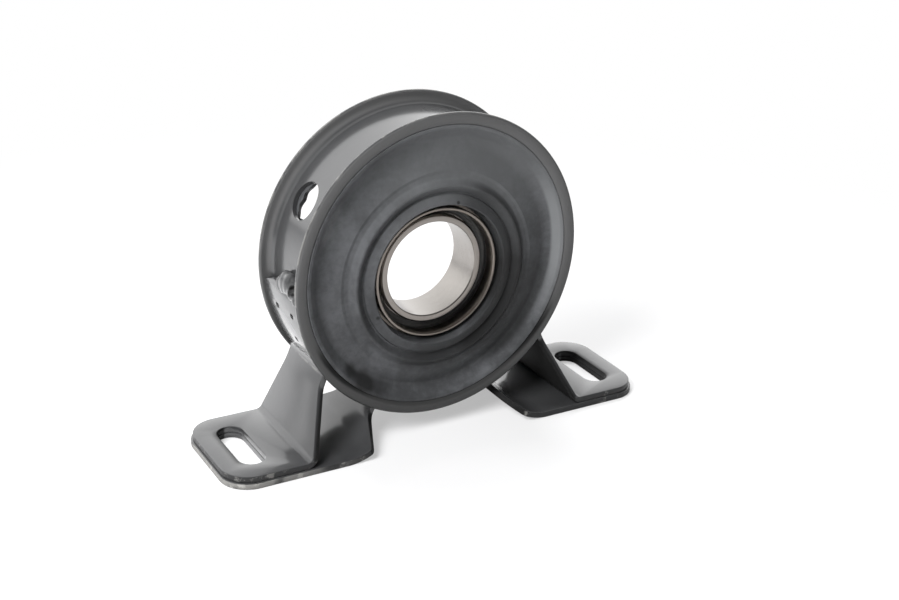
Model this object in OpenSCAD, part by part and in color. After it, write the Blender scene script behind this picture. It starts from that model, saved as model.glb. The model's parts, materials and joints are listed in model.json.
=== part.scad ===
// Driveshaft centre bearing: a sealed ball bearing in a rubber mount, carried by a flared
// steel ring on a folded two-layer foot bracket.
// Millimetres. +Z is up and +Y points to the rear. The origin lies on the plane under the feet,
// midway between the two foot slots.

/* [Ring] */
// Width over the two flared lips
ring_w = 36.4; // [34:0.2:42]
// Thickness of the ring's sheet
ring_sheet = 2; // [1.6:0.1:2.4]
// Height of a lip above the band
lip_h = 5.5; // [5:0.1:7]
// Bend radius between the band and a lip, on the groove side
lip_bend = 3.5; // [2.5:0.1:4]
// Clearance between the floor and the lips
lip_clear = 8; // [6:0.1:12]
// Distance of the ring's middle behind the line of the slots
ring_back = 5; // [2:0.1:7]
// Diameter of the vent hole in the band
vent_d = 16; // [10:0.5:17]
// Angle of the vent hole above the horizontal, on the left side
vent_angle = 30; // [20:1:60]
// Distance of the vent hole behind the middle of the band
vent_back = 2.4; // [0:0.1:3]

/* [Bracket] */
// Thickness of the bracket's sheet
sheet = 2.6; // [2:0.1:3]
// Distance from the middle of a slot to the outer end of its foot
slot_margin = 14.8; // [12:0.1:17]
// Width of a slot
slot_w = 11; // [9:0.5:13]
// Length of a slot, end to end
slot_l = 32; // [24:0.5:36]
// Length of a foot, front to rear
foot_l = 52; // [48:0.5:60]
// Span over the outer ends of the feet
foot_span = 192.6; // [188:0.2:200]
// Radius of the feet's outer corners
foot_corner = 12; // [6:0.5:14]
// Step of the upper foot layer inside the edge of the lower one
layer_step = 0.6; // [0.2:0.1:1]
// Clearance between the strap under the ring and the bends on both sides of its groove
strap_gap = 0.2; // [0.1:0.1:2]
// Clearance between the straps up the ring's flanks, which rest on those bends, and the lips
flank_gap = 0.8; // [0.6:0.1:2]
// Gap left for the weld between the ring and a strap
weld_gap = 0.05; // [0.05:0.01:0.2]
// Distance between the corners where the legs leave the feet
leg_span = 125; // [121:0.5:128]
// Lean of a leg from the vertical, in degrees
leg_lean = 22.2; // [18:0.2:25]
// Inside bend radius at the foot of a leg
leg_bend = 3; // [2:0.5:4]
// Inside bend radius where a leg turns up the ring
neck_bend = 4; // [3:0.5:6]
// Height below the lips at which a leg has narrowed to its strap
taper_drop = 2.4; // [1:0.1:4]
// Angle below the ring's axis at which a leg's strap ends
strap_end = 5.5; // [0:0.5:10]
// Clear distance between the inner ends of the feet
foot_gap = 73.2; // [72:0.2:76]
// Distance between the places where the feet begin to sweep up to the saddle
sweep_span = 94; // [92:0.5:96]
// Inside bend radius of a sweep
sweep_bend = 22; // [20:0.5:23]
// Slope at the top of a sweep, in degrees
sweep_slope = 55; // [52:0.5:58]
// Inside bend radius where a sweep turns over to the strap under the ring
saddle_bend = 6; // [5:0.2:7]

/* [Rubber] */
// Depth of the rubber's flat behind the front lip
flat_depth = 3.5; // [2.5:0.1:4.5]
// Thickness of the rubber's front wall
wall_t = 4.6; // [4:0.1:5.5]
// Thickness of the rubber's lining in the band
lining_t = 2.8; // [2:0.1:4]
// Depth of the ring-shaped valley round the collar
valley_depth = 4; // [3:0.1:5]
// Thickness of the collar round the bearing
collar_t = 4; // [3.5:0.1:4.5]
// Radial distance from the collar to the band, over which the rubber can flex
rubber_run = 18; // [17:0.1:21]
// Distance from the collar to the middle of the valley's floor
valley_run = 2.5; // [2:0.1:3]
// Gap between the collar's lips and the sleeves of the dust shields
collar_gap = 1.4; // [0.8:0.1:2]
// Depth of the collar's face behind the front lip
collar_depth = 0.9; // [0.5:0.1:2]
// Thickness of the collar's rear lip
rear_lip_t = 3; // [2:0.1:4]
// Clearance between the rubber and what it holds
rubber_gap = 0.05; // [0.05:0.01:0.1]

/* [Bearing] */
// Distance of the bearing's axis below the axis of the ring
axis_drop = 3.5; // [2.5:0.1:4]
// Distance of the bearing's middle behind the line of the slots
bearing_back = 3.9; // [3:0.1:4.5]
// Diameter of the shaft's bore
bore_d = 40; // [38:0.5:41]
// Width of the inner race
inner_w = 17.5; // [16.5:0.1:18.5]
// Outside diameter of the outer race
outer_d = 68; // [67:0.1:69]
// Width of the outer race
outer_w = 15; // [14.5:0.1:16]
// Diameter of a ball as a share of the bearing's outside diameter less its bore
ball_share = 0.282; // [0.26:0.002:0.286]
// Distance from the balls' circle to the shoulders of the races, as a share of a ball's diameter
shoulder_share = 0.316; // [0.29:0.002:0.34]
// Number of balls
ball_count = 12; // [9:1:13]
// Clearance between a ball and its raceways
ball_gap = 0.12; // [0.05:0.01:0.2]
// Chamfer at the corners of the races
race_chamfer = 0.5; // [0.3:0.1:0.8]

/* [Cage, seals and shields] */
// Thickness of the cage's sheet
cage_t = 0.75; // [0.5:0.05:0.8]
// Radial width of the cage's ribbon
cage_w = 3; // [2.4:0.1:3.4]
// Clearance between a ball and its pocket
pocket_gap = 0.2; // [0.1:0.05:0.25]
// Diameter of a cage rivet
rivet_d = 1.2; // [0.8:0.1:1.6]
// Thickness of a seal
seal_t = 1.3; // [1:0.1:1.5]
// Step from the shoulders to the seals' seat and running land, as a share of a ball's diameter
seal_share = 0.19; // [0.15:0.01:0.22]
// Depth of a seal below the end of the outer race
seal_depth = 0.7; // [0.3:0.1:0.8]
// Running clearance between a seal and the inner race
seal_gap = 0.3; // [0.2:0.05:0.4]
// Outside diameter of a dust shield's sleeve
sleeve_d = 54; // [53:0.1:55]
// Thickness of the dust shields' sheet
shield_t = 1.1; // [0.8:0.1:1.2]
// Reach of a dust shield's sleeve beyond the outer race
sleeve_reach = 5.6; // [4:0.1:6.5]

/* [Hidden] */
$fn = 96;
steel_black = "#26282b";
rubber_black = "#2f3134";
bare_steel = "#b5aca2";
bright_steel = "#cfd2d4";
seal_black = "#1b1b1c";

// Overrun of cuts past the faces that they open
over = 1;
// Segments in a bend of a folded sheet, and in a stretch that follows the ring
bend_steps = 10;
wrap_steps = 14;
// Segments in a rounded corner of a moulded profile
corner_steps = 6;

// Roundings of the rubber's crisp edges, its lips, its slopes and its wall
crisp_round = 0.3;
lip_round = 0.8;
slope_round = 2;
wall_round = 4;
// The bead round the collar's face stands proud of it, and a groove parts the two
bead_rise = 0.4;
bead_slope = 0.6;
groove_w = 1.4;
groove_depth = 1.2;
// Width of the valley's floor
valley_floor = 2.6;
// Overlap of the flat's two parts where their circles come closest
flat_margin = 0.2;
// Reach of the rubber's rim over the mouth of the band, and the draft at the end of its lining
rim_lap = 0.6;
lining_draft = 0.5;
// Run over which the saddle narrows inside the ends of the feet
neck_run = 7;

// The bearing sets the size of the ring round it
collar_r = outer_d / 2 + collar_t;
band_in = collar_r + rubber_run;
band_r = band_in + ring_sheet;
lip_r = band_r + lip_h;
ring_z = lip_r + lip_clear;
ring_front = ring_back - ring_w / 2;
ring_rear = ring_back + ring_w / 2;
flare = lip_bend + ring_sheet;
ring_axis = [0, ring_z];

bearing_z = ring_z - axis_drop;
ball_d = ball_share * (outer_d - bore_d);
ball_r = ball_d / 2;
shoulder_gap = shoulder_share * ball_d;
seal_step = seal_share * ball_d;
raceway_r = ball_r + ball_gap;
pitch_r = (bore_d + outer_d) / 4;
inner_shoulder_r = pitch_r - shoulder_gap;
outer_shoulder_r = pitch_r + shoulder_gap;
land_r = inner_shoulder_r - seal_step;
seal_r = outer_shoulder_r + seal_step;
sleeve_r = sleeve_d / 2;

strap_in = band_r + weld_gap;
strap_out = strap_in + sheet;
strap_w = ring_w - 2 * flare - 2 * strap_gap;
strap_front = ring_back - strap_w / 2;
strap_rear = ring_back + strap_w / 2;
flank_rest = lip_bend - sqrt(pow(lip_bend, 2) - pow(lip_bend - flank_gap, 2));
flank_in = band_r + flank_rest + weld_gap;
flank_out = flank_in + sheet;
flank_w = ring_w - 2 * ring_sheet - 2 * flank_gap;
flank_front = ring_back - flank_w / 2;
flank_rear = ring_back + flank_w / 2;
foot_x = foot_span / 2;
foot_half = foot_l / 2;
slot_x = foot_x - slot_margin;

// The turn at the top of a sweep touches the sweep's slope and the strap under the ring
foot_in = foot_gap / 2;
sweep_turn = [sweep_span / 2, sheet + sweep_bend];
sweep_normal = [sin(sweep_slope), cos(sweep_slope)];
sweep_up = [-cos(sweep_slope), sin(sweep_slope)];
saddle_out = sweep_normal * (sweep_turn - ring_axis) - sweep_bend - sheet - saddle_bend;
saddle_down = sqrt(pow(strap_out + saddle_bend, 2) - pow(saddle_out, 2));
saddle_turn = ring_axis + saddle_out * sweep_normal - saddle_down * sweep_up;
saddle_angle = atan2(ring_z - saddle_turn.y, -saddle_turn.x);

// The turn at the neck of a leg lies against the strap on the ring's flank
leg_normal = [cos(leg_lean), sin(leg_lean)];
leg_up = [-sin(leg_lean), cos(leg_lean)];
leg_corner = [leg_span / 2, 2 * sheet];
leg_turn = leg_corner + leg_bend * [1 / tan(45 + leg_lean / 2), 1];
leg_out = leg_normal * (leg_corner - ring_axis);
neck_out = leg_out + neck_bend;
neck_down = sqrt(pow(flank_out + neck_bend, 2) - pow(neck_out, 2));
neck_turn = ring_axis + neck_out * leg_normal - neck_down * leg_up;
neck_angle = atan2(ring_z - neck_turn.y, -neck_turn.x);
// A leg has narrowed to its strap a little below the height at which it passes the lips
leg_in = leg_out - sheet;
lip_down = sqrt(pow(lip_r, 2) - pow(leg_in, 2));
leg_taper_z = ring_z + leg_in * leg_normal.y - lip_down * leg_up.y - taper_drop;

// The front of the rubber: its flat, its valley and the face of its collar
flat_y = ring_front + flat_depth;
flat_back_y = flat_y + wall_t;
valley_y = flat_y + valley_depth;
valley_r = collar_r + valley_run;
collar_y = ring_front + collar_depth;
shoulder_r = valley_r + rubber_run / 6;
// The flat belongs to both axes, so its two parts overlap all the way round
flat_in = shoulder_r + axis_drop + flat_margin;
flat_out = flat_in + axis_drop + flat_margin;
lining_in = band_in - rubber_gap - lining_t;
// The dish between the flat and the rim, as round as its run allows
dish_in = (flat_in + band_in) / 2;
dish_round = 2 * (band_in - dish_in);
open_r = sleeve_r + collar_gap;
seat_r = outer_d / 2 + rubber_gap;
seat_front = bearing_back - outer_w / 2 - shield_t - rubber_gap;
seat_rear = bearing_back + outer_w / 2 + shield_t + rubber_gap;

function ball_name(i) = str("ball_", i < 9 ? "0" : "", i + 1);

// Points along an arc about a centre
function arc(centre, r, from, to, steps) =
    [for (k = [0:steps]) let (a = from + (to - from) * k / steps) centre + r * [cos(a), sin(a)]];
function reversed(points) = [for (i = [len(points) - 1:-1:0]) points[i]];
function mirrored(points) = [for (p = points) [-p.x, p.y]];

// One corner p of an outline, rounded to a radius
function fillet(before, p, after, r, steps) =
    let (
        u = (before - p) / norm(before - p),
        v = (after - p) / norm(after - p),
        half = acos(u * v) / 2,
        centre = p + (u + v) / norm(u + v) * r / sin(half),
        start = p + u * r / tan(half) - centre,
        finish = p + v * r / tan(half) - centre,
        from = atan2(start.y, start.x),
        sweep = (atan2(finish.y, finish.x) - from + 540) % 360 - 180
    )
    arc(centre, r, from, from + sweep, steps);

// An outline whose corners are [x, y, radius], where a radius of 0 stays sharp
function rounded(corners, steps) =
    let (count = len(corners), flat = [for (c = corners) [c.x, c.y]])
    [for (i = [0:count - 1]) each corners[i].z == 0 ? [flat[i]] :
        fillet(flat[(i + count - 1) % count], flat[i], flat[(i + 1) % count], corners[i].z, steps)];

// A profile of radius and distance along Y, turned about an axis at height z
module turned(z) {
    translate([0, 0, z])
        rotate([-90, 0, 0])
            rotate_extrude()
                children();
}

// An outline in X and Z, extruded over the length of a foot
module folded(outline) {
    rotate([90, 0, 0])
        linear_extrude(foot_l + 2 * over, center = true)
            polygon(outline);
}

// An outline in Y and Z, extruded along X over both feet
module side_cut(outline) {
    rotate([90, 0, 90])
        linear_extrude(foot_span + 2 * over, center = true)
            polygon(outline);
}

// The side view of a sheet that narrows from the foot to the strap
module taper(from_z, to_z) {
    side_cut([
        [-foot_half - over, -over],
        [-foot_half - over, from_z],
        [-foot_half, from_z],
        [flank_front, to_z],
        [flank_front, ring_z + lip_r],
        [flank_rear, ring_z + lip_r],
        [flank_rear, to_z],
        [foot_half, from_z],
        [foot_half + over, from_z],
        [foot_half + over, -over]
    ]);
}

// Plan of both feet with round outer corners, stepped in by inset
module feet_plan(inset) {
    x = foot_x - inset;
    y = foot_half - inset;
    r = foot_corner;
    translate([0, 0, -over])
        linear_extrude(ring_z + lip_r)
            polygon(rounded([[x, -y, r], [x, y, r], [-x, y, r], [-x, -y, r]], bend_steps));
}

// A slot along Y through both layers of one foot
module slot() {
    straight = slot_l - slot_w;
    translate([slot_x, 0, -over]) {
        translate([-slot_w / 2, -straight / 2, 0])
            cube([slot_w, straight, 2 * sheet + 2 * over]);
        for (side = [-1, 1])
            translate([0, side * straight / 2, 0])
                cylinder(d = slot_w, h = 2 * sheet + 2 * over);
    }
}

// The vent's drill, from outside the band to inside the lining
module vent() {
    translate([0, ring_back + vent_back, ring_z])
        rotate([0, -90 + vent_angle, 0])
            translate([0, 0, lining_in - over])
                cylinder(d = vent_d, h = lip_r - lining_in + over);
}

// Section of the ring: a band with a bend and a round-edged lip at each end
module ring_section() {
    edge = ring_sheet / 2;
    bend_r = band_r + lip_bend;
    difference() {
        union() {
            translate([band_in, ring_front])
                square([lip_r - edge - band_in, ring_w]);
            for (y = [ring_front + edge, ring_rear - edge])
                translate([lip_r - edge, y])
                    circle(edge);
        }
        translate([band_r, ring_front + flare])
            square([lip_h + over, ring_w - 2 * flare]);
        translate([bend_r, ring_front + ring_sheet])
            square([lip_h, ring_w - 2 * ring_sheet]);
        for (y = [ring_front + flare, ring_rear - flare])
            translate([bend_r, y])
                circle(lip_bend);
        mouth(ring_front - over, ring_front + flare, ring_front + flare);
        mouth(ring_rear - flare, ring_rear + over, ring_rear - flare);
    }
}

// The rounded mouth inside one lip, between two distances along Y
module mouth(low, high, bend_y) {
    bend_r = band_r + lip_bend;
    difference() {
        translate([band_in - over, low])
            square([bend_r - band_in + over, high - low]);
        translate([bend_r, bend_y])
            circle(flare);
    }
}

module outer_ring() {
    color(steel_black)
        difference() {
            turned(ring_z)
                ring_section();
            vent();
        }
}

// The part of the rubber that follows the ring: rim, dished front wall and lining
module rubber_rim_section() {
    bend_r = band_r + lip_bend;
    rim_r = band_r + rim_lap;
    lining_out = band_in - rubber_gap;
    lining_end = ring_rear - flare;
    difference() {
        polygon(rounded([
            [flat_in, flat_back_y, 0],
            [flat_in, flat_y, 0],
            [dish_in, flat_y, dish_round],
            [band_in + rim_lap, collar_y + bead_rise, slope_round],
            [rim_r, collar_y - bead_rise, crisp_round],
            [rim_r + rim_lap, collar_y + over, 0],
            [lining_out, ring_front + flare + over, 0],
            [lining_out, lining_end, 0],
            [lining_in + lining_draft, lining_end, lip_round],
            [lining_in, flat_back_y, wall_round]
        ], corner_steps));
        translate([bend_r, ring_front + flare])
            circle(flare + rubber_gap);
    }
}

// The part of the rubber that follows the bearing: flat, valley, bead, groove and collar
module rubber_collar_section() {
    groove_r = outer_d / 2;
    collar_end = seat_rear + rear_lip_t;
    polygon(rounded([
        [open_r, seat_front, 0],
        [open_r, collar_y, lip_round],
        [groove_r - groove_w / 2, collar_y, crisp_round],
        [groove_r - groove_w / 4, collar_y + groove_depth, crisp_round],
        [groove_r + groove_w / 4, collar_y + groove_depth, crisp_round],
        [groove_r + groove_w / 2, collar_y - bead_rise, crisp_round],
        [collar_r - bead_slope, collar_y - bead_rise, lip_round],
        [valley_r - valley_floor / 2, valley_y, slope_round],
        [valley_r + valley_floor / 2, valley_y, slope_round],
        [shoulder_r, flat_y, slope_round],
        [flat_out, flat_y, 0],
        [flat_out, flat_back_y, 0],
        [shoulder_r + valley_floor / 2, flat_back_y, wall_round],
        [collar_r, valley_y + wall_t, wall_round],
        [collar_r, collar_end, lip_round],
        [open_r, collar_end, lip_round],
        [open_r, seat_rear, 0],
        [seat_r, seat_rear, 0],
        [seat_r, seat_front, 0]
    ], corner_steps));
}

module rubber_mount() {
    color(rubber_black)
        difference() {
            union() {
                turned(ring_z)
                    rubber_rim_section();
                turned(bearing_z)
                    rubber_collar_section();
            }
            vent();
        }
}

// One face of the saddle's right half, from its foot to the bottom of the ring
function saddle_face(foot_r, top_r, ring_r) = concat(
    arc(sweep_turn, foot_r, 270, 270 - sweep_slope, bend_steps),
    arc(saddle_turn, top_r, 90 - sweep_slope, saddle_angle, bend_steps),
    arc(ring_axis, ring_r, saddle_angle + 180, 270, wrap_steps)
);

// Without its first point, which both halves share
function tail(points) = [for (i = [1:len(points) - 1]) points[i]];

function saddle_outline() =
    let (
        upper = saddle_face(sweep_bend, saddle_bend + sheet, strap_in),
        lower = saddle_face(sweep_bend + sheet, saddle_bend, strap_out)
    )
    concat(
        [[foot_x, sheet]],
        upper,
        tail(reversed(mirrored(upper))),
        [[-foot_x, sheet], [-foot_x, 0]],
        mirrored(lower),
        tail(reversed(lower)),
        [[foot_x, 0]]
    );

// Plan of the saddle, which narrows between the feet to lie in the groove
module saddle_plan() {
    neck_x = foot_in - neck_run;
    half = [
        [neck_x, strap_front],
        [foot_in, -foot_half - over],
        [foot_x + over, -foot_half - over],
        [foot_x + over, foot_half + over],
        [foot_in, foot_half + over],
        [neck_x, strap_rear]
    ];
    translate([0, 0, -over])
        linear_extrude(ring_z)
            polygon(concat(half, reversed(mirrored(half))));
}

module saddle_strap() {
    color(steel_black)
        difference() {
            intersection() {
                folded(saddle_outline());
                feet_plan(0);
                saddle_plan();
            }
            slot();
            mirror([1, 0, 0])
                slot();
        }
}

// One face of the right leg, from its foot to the end of its strap
function leg_face(foot_r, neck_r, ring_r) = concat(
    arc(leg_turn, foot_r, 270, 180 + leg_lean, bend_steps),
    arc(neck_turn, neck_r, 180 + leg_lean, neck_angle, bend_steps),
    arc(ring_axis, ring_r, neck_angle + 180, 360 - strap_end, wrap_steps)
);

function leg_outline() = concat(
    [[foot_x, 2 * sheet]],
    leg_face(leg_bend, neck_bend, flank_out),
    reversed(leg_face(leg_bend + sheet, neck_bend + sheet, flank_in)),
    [[foot_x, sheet]]
);

module right_leg() {
    color(steel_black)
        difference() {
            intersection() {
                folded(leg_outline());
                taper(2 * sheet, leg_taper_z);
                feet_plan(layer_step);
            }
            slot();
        }
}

module left_leg() {
    mirror([1, 0, 0])
        right_leg();
}

// A race's section: a rectangle between two radii less its corners on the seat's side
module race_block(low, high, seat, w) {
    difference() {
        translate([low, -w / 2])
            square([high - low, w]);
        for (y = [-w / 2, w / 2])
            translate([seat, y])
                rotate(45)
                    square(race_chamfer * sqrt(2), center = true);
    }
}

module inner_race() {
    shoulder_half = outer_w / 2 - seal_depth - seal_t - seal_gap;
    color(bare_steel)
        translate([0, bearing_back, 0])
            turned(bearing_z)
                difference() {
                    union() {
                        race_block(bore_d / 2, land_r, bore_d / 2, inner_w);
                        translate([bore_d / 2 + race_chamfer, -shoulder_half])
                            square([inner_shoulder_r - bore_d / 2 - race_chamfer, 2 * shoulder_half]);
                    }
                    translate([pitch_r, 0])
                        circle(raceway_r);
                }
}

module outer_race() {
    counterbore = seal_depth + seal_t;
    color(bright_steel)
        translate([0, bearing_back, 0])
            turned(bearing_z)
                difference() {
                    race_block(outer_shoulder_r, outer_d / 2, outer_d / 2, outer_w);
                    translate([pitch_r, 0])
                        circle(raceway_r);
                    for (low = [-outer_w / 2 - over, outer_w / 2 - counterbore])
                        translate([outer_shoulder_r - over, low])
                            square([seal_step + over, counterbore + over]);
                }
}

// Puts children at one ball's place, or at a share of a step after it, with their Z along the bore
module at_ball(i) {
    translate([0, bearing_back, bearing_z])
        rotate([0, i * 360 / ball_count, 0])
            translate([pitch_r, 0, 0])
                rotate([-90, 0, 0])
                    children();
}

module ball(i) {
    color(bright_steel)
        at_ball(i)
            sphere(ball_r);
}

// One half of the cage: a flat ribbon that bulges into a cup over each ball
module cage_half(side) {
    cup_r = ball_r + pocket_gap + cage_t;
    color(bare_steel)
        difference() {
            intersection() {
                union() {
                    translate([0, bearing_back, 0])
                        turned(bearing_z)
                            translate([pitch_r - cage_w, side > 0 ? 0 : -cage_t])
                                square([2 * cage_w, cage_t]);
                    for (i = [0:ball_count - 1])
                        at_ball(i)
                            sphere(cup_r);
                }
                translate([0, bearing_back, 0])
                    turned(bearing_z)
                        translate([pitch_r - cage_w / 2, side > 0 ? 0 : -2 * cup_r])
                            square([cage_w, 2 * cup_r]);
            }
            for (i = [0:ball_count - 1]) {
                at_ball(i)
                    sphere(ball_r + pocket_gap);
                at_ball(i + 0.5)
                    cylinder(d = rivet_d + pocket_gap, h = 4 * cage_t, center = true);
            }
        }
}

module cage_front() {
    cage_half(-1);
}

module cage_rear() {
    cage_half(1);
}

// Rivets through both cage halves, midway between the balls
module cage_rivets() {
    color(bright_steel)
        for (i = [0:ball_count - 1])
            at_ball(i + 0.5)
                rotate_extrude()
                    rivet_section();
}

module rivet_section() {
    translate([0, -cage_t])
        square([rivet_d / 2, 2 * cage_t]);
    for (low = [-2 * cage_t, cage_t])
        translate([0, low])
            square([rivet_d, cage_t]);
}

// A seal disc in the outer race's seat, clear of the inner race
module seal(side) {
    near = outer_w / 2 - seal_depth - seal_t;
    inner = land_r + seal_gap;
    color(seal_black)
        translate([0, bearing_back, 0])
            turned(bearing_z)
                translate([inner, side > 0 ? near : -near - seal_t])
                    square([seal_r - inner, seal_t]);
}

module front_seal() {
    seal(-1);
}

module rear_seal() {
    seal(1);
}

// A dust shield: a flange on the end of the outer race and a sleeve that stands out from it
module shield_section() {
    translate([0, outer_w / 2]) {
        translate([sleeve_r - shield_t, 0])
            square([outer_d / 2 - sleeve_r + shield_t, shield_t]);
        translate([sleeve_r - shield_t, 0])
            square([shield_t, sleeve_reach - shield_t / 2]);
        translate([sleeve_r - shield_t / 2, sleeve_reach - shield_t / 2])
            circle(shield_t / 2);
    }
}

module rear_dust_shield() {
    color(bare_steel)
        translate([0, bearing_back, 0])
            turned(bearing_z)
                shield_section();
}

module front_dust_shield() {
    color(bare_steel)
        translate([0, bearing_back, 0])
            turned(bearing_z)
                mirror([0, 1])
                    shield_section();
}

outer_ring();
rubber_mount();
saddle_strap();
left_leg();
right_leg();
outer_race();
inner_race();
cage_front();
cage_rear();
cage_rivets();
front_seal();
rear_seal();
front_dust_shield();
rear_dust_shield();
for (i = [0:ball_count - 1])
    ball(i);
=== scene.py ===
"""Looks of the driveshaft centre bearing: black sheet steel, moulded rubber and bare bearing steel."""

import json
import math

import bpy
from mathutils import Matrix, Vector


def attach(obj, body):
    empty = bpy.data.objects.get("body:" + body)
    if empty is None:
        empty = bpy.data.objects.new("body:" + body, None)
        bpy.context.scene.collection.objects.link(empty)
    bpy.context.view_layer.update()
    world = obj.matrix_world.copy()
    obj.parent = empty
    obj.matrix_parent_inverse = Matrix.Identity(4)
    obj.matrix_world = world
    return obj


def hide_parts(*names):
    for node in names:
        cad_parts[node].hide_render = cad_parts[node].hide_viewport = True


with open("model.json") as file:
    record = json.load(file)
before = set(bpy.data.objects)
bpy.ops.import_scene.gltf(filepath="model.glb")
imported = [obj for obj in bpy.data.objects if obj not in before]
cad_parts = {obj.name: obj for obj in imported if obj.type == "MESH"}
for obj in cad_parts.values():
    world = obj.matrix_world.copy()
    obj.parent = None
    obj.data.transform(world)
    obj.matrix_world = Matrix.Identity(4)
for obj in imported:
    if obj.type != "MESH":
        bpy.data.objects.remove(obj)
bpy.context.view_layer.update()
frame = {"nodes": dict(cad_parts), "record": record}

# Sizes are written in millimetres, as in the part's source, and the scene is in metres
MM = 0.001

# Ring, with its axis along Y
RING_Z = 71.5
RING_FRONT = -13.2
RING_REAR = 23.2
BAND_R = 58.0
BAND_IN = 56.0
LIP_R = 63.47
LIP_T = 2.0
LIP_BEND = 3.5
LIP_EDGE = 0.98
RING_STEPS = 288

# Vent hole at the upper left, and the wider hole behind it in the rubber
VENT_R = 8.0
VENT_Y = 7.4
VENT_RISE = math.radians(30.0)
VENT_SIDES = 64
LINING_VENT_R = 9.5
LINING_VENT_LAP = 0.44

# Rubber: outside BOWL_FIXED it is round about the ring's axis, inside BOWL_FREE about the bearing's
BOWL_FIXED = 54.0
BOWL_FREE = 45.0
LINING_R = 55.95
LINING_IN = 53.65
LINING_REAR = 17.7
COLLAR_R = 38.0
COLLAR_SEAT = 34.05
COLLAR_IN = 28.4

# Bearing
BORE_Z = 68.0
BEARING_Y = 3.9
BALLS_R = 27.0
RACEWAY_R = 4.07
BORE_R = 20.0
RACE_R = 23.0
SHOULDER_R = 24.5
RACE_HALF = 8.75
SHOULDER_HALF = 5.2

# Bracket: sheet, feet and slots
SHEET = 2.6
FOOT_X = 96.3
FOOT_Y = 26.0
FOOT_CORNER = 12.0
LAYER_STEP = 0.6
SLOT_X = 81.5
SLOT_W = 11.0
SLOT_L = 32.0

# Bracket: lower layer, swept up from the feet to the strap under the ring
STRAP_IN = 58.05
STRAP_FRONT = -7.5
STRAP_REAR = 17.5
SWEEP_X = 47.0
SWEEP_BEND = 22.0
SWEEP_SLOPE = math.radians(55.0)
SADDLE_BEND = 6.0
FOOT_IN = 36.6
NECK_IN = 29.6

# Bracket: legs of the upper layer and their straps on the ring's flanks
LEG_X = 62.5
LEG_LEAN = math.radians(22.2)
LEG_BEND = 3.0
NECK_BEND = 4.0
TAPER_DROP = 2.4
FLANK_IN = 59.32
FLANK_FRONT = -10.4
FLANK_REAR = 20.4
STRAP_END = math.radians(5.5)
TONGUE_END = math.radians(2.7)
TONGUE_IN = 8.8
TONGUE_STEPS = 4

# Welds: degrees above the ring's axis and Y of each spot, and then the size of each lump of the bead
SPOT_MARKS = ((-13.5, 11.4), (-12.9, -2.4), (-25.2, 2.7))
SPOT_SIZE = (0.6, 1.7, 0.9)
BEAD_R = 59.8
BEAD_LUMPS = (
    (-5.2, 9.6, (2.5, 3.2, 2.6)),
    (-3.6, 6.4, (3.1, 3.8, 4.4)),
    (-1.8, 2.9, (3.2, 3.8, 5.4)),
    (-1.5, -0.4, (3.1, 3.6, 5.2)),
    (-3.2, -3.4, (3.0, 3.0, 4.2)),
    (-5.6, -6.6, (2.7, 2.4, 2.8)),
)


def point(x, y, z):
    """A point given in millimetres."""
    return Vector((x, y, z)) * MM


# Modelling helpers


def begin(name):
    """Names the primitive that was just added and opens it for editing."""
    piece = bpy.context.object
    piece.name = name
    piece.data.name = name
    bpy.ops.object.mode_set(mode="EDIT")
    return piece


def end():
    bpy.ops.object.mode_set(mode="OBJECT")
    return bpy.context.object


def only(piece):
    """Makes one piece the selected and active one."""
    bpy.ops.object.select_all(action="DESELECT")
    piece.select_set(True)
    bpy.context.view_layer.objects.active = piece


def pick(piece, vertex_test):
    """Selects the vertices of an open piece that pass a test of their place."""
    bpy.ops.mesh.select_all(action="DESELECT")
    bpy.ops.object.mode_set(mode="OBJECT")
    for vertex in piece.data.vertices:
        vertex.select = vertex_test(vertex.co)
    bpy.ops.object.mode_set(mode="EDIT")


def dot(name, at):
    """A single vertex, to be drawn out into a line."""
    bpy.ops.object.select_all(action="DESELECT")
    bpy.ops.mesh.primitive_plane_add(size=MM)
    piece = begin(name)
    bpy.ops.mesh.select_mode(type="VERT")
    bpy.ops.mesh.select_all(action="SELECT")
    bpy.ops.mesh.merge(type="CENTER")
    bpy.ops.transform.translate(value=at)
    return piece


def draw_on(step):
    bpy.ops.mesh.extrude_region_move(TRANSFORM_OT_translate={"value": step})


def apply_modifier(piece, kind, **settings):
    only(piece)
    modifier = piece.modifiers.new(kind.title(), kind)
    for key, value in settings.items():
        setattr(modifier, key, value)
    bpy.ops.object.modifier_apply(modifier=modifier.name)


def cut(piece, cutter):
    """Takes a cutter out of a piece and removes the cutter."""
    apply_modifier(piece, "BOOLEAN", operation="DIFFERENCE", solver="EXACT", object=cutter)
    bpy.data.objects.remove(cutter)


def close_up(piece, reach=0.002):
    """Merges doubled points and turns the faces outwards."""
    only(piece)
    bpy.ops.object.mode_set(mode="EDIT")
    bpy.ops.mesh.select_all(action="SELECT")
    bpy.ops.mesh.remove_doubles(threshold=reach * MM)
    bpy.ops.mesh.normals_make_consistent(inside=False)
    end()


def smooth(piece, degrees=35):
    only(piece)
    bpy.ops.object.shade_smooth_by_angle(angle=math.radians(degrees))


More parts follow.
